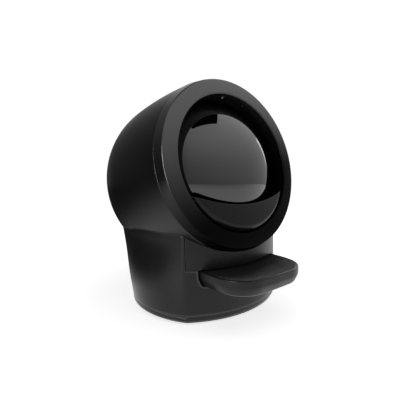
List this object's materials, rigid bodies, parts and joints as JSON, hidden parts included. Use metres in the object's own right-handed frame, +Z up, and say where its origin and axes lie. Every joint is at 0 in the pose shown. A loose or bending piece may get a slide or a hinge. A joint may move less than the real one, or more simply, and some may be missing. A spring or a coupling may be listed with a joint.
{
  "type": "automatic pet feeder",
  "caption": "Free-standing dry-food dispenser: tilted round head with an eyelid visor over a crescent bowl, rear hatch to a hopper with a feed rotor, and a slide-out crumb tray.",
  "frame": {"origin": "on the floor, under the middle of the object's box", "axes": "+Z up, the ring and the tray face -Y, +X to the object's left as it faces you"},
  "size_m": [0.286, 0.3513, 0.3571],
  "materials": {
    "satin_shell": "satin, fine texture",
    "gloss_black": "polished",
    "dark_grey": "plain moulded",
    "black_rubber": "matte",
    "grey_rubber": "matte",
    "steel": "brushed",
    "frosted": "frosted",
    "board_green": "solder mask",
    "cell_wrap": "shrink wrap",
    "lens": "polished",
    "light": "diffuser"
  },
  "bodies": {
    "housing": {"base_shell": "satin_shell", "front_panel": "satin_shell", "base_plate": "satin_shell", "feet": "black_rubber", "base_screws": "steel", "head_shell": "satin_shell", "ring_bezel": "satin_shell", "cavity_shroud": "gloss_black", "bowl_cradle": "satin_shell", "camera_module": "gloss_black", "camera_lens": "lens", "status_light": "light", "visor_pins": "steel", "visor_motor": "steel", "motor_bracket": "dark_grey", "feed_bracket": "dark_grey", "hopper": "frosted", "chute": "frosted", "feed_motor": "steel", "level_sensors": "dark_grey", "lid_hinge_pin": "steel", "tray_rails": "dark_grey", "main_board": "board_green", "board_posts": "dark_grey", "battery_pack": "cell_wrap", "battery_door": "satin_shell", "speaker": "gloss_black", "power_inlet": "gloss_black", "button_spring": "steel", "button_switch": "gloss_black"},
    "visor": {"visor": "gloss_black", "visor_gear": "dark_grey"},
    "visor_pinion": {"visor_pinion": "steel"},
    "bowl": {"bowl": "gloss_black"},
    "rotor": {"feed_rotor": "dark_grey", "rotor_shaft": "steel", "rotor_gear": "dark_grey"},
    "feed_pinion": {"feed_pinion": "steel"},
    "lid": {"hopper_lid": "satin_shell", "lid_seal": "grey_rubber", "desiccant_box": "frosted"},
    "tray": {"tray": "satin_shell", "tray_mat": "black_rubber"},
    "button": {"rear_button": "dark_grey"}
  },
  "joints": [
    {"name": "visor_lift", "type": "hinge", "parent": "housing", "child": "visor", "pos_m": [0, 0.02198, 0.20249], "axis": [-1, 0, 0], "range_deg": [0, 62]},
    {"name": "visor_pinion_spin", "type": "hinge", "parent": "housing", "child": "visor_pinion", "pos_m": [0, 0.04748, 0.19623], "axis": [-1, 0, 0], "range_deg": [-207, 0]},
    {"name": "bowl_slide", "type": "slide", "parent": "housing", "child": "bowl", "axis": [0, -0.9711, 0.2385], "range_m": [0, 0.11]},
    {"name": "rotor_spin", "type": "hinge", "parent": "housing", "child": "rotor", "pos_m": [0, 0.062, 0.198], "axis": [1, 0, 0], "continuous": true},
    {"name": "feed_pinion_spin", "type": "hinge", "parent": "housing", "child": "feed_pinion", "pos_m": [0, 0.062, 0.17175], "axis": [1, 0, 0], "continuous": true},
    {"name": "lid_hinge", "type": "hinge", "parent": "housing", "child": "lid", "pos_m": [0, 0.12901, 0.3121], "axis": [1, 0, 0], "range_deg": [0, 100]},
    {"name": "tray_slide", "type": "slide", "parent": "housing", "child": "tray", "axis": [0, -1, 0], "range_m": [0, 0.07]},
    {"name": "button_press", "type": "slide", "parent": "housing", "child": "button", "axis": [0, -1, 0], "range_m": [0, 0.002], "stiffness_N_per_m": 400, "deforming": ["button_spring"]}
  ],
  "couplings": [
    {"joint": "visor_pinion_spin", "follows": "visor_lift", "ratio": -3.3333},
    {"joint": "feed_pinion_spin", "follows": "rotor_spin", "ratio": -3.3333}
  ]
}
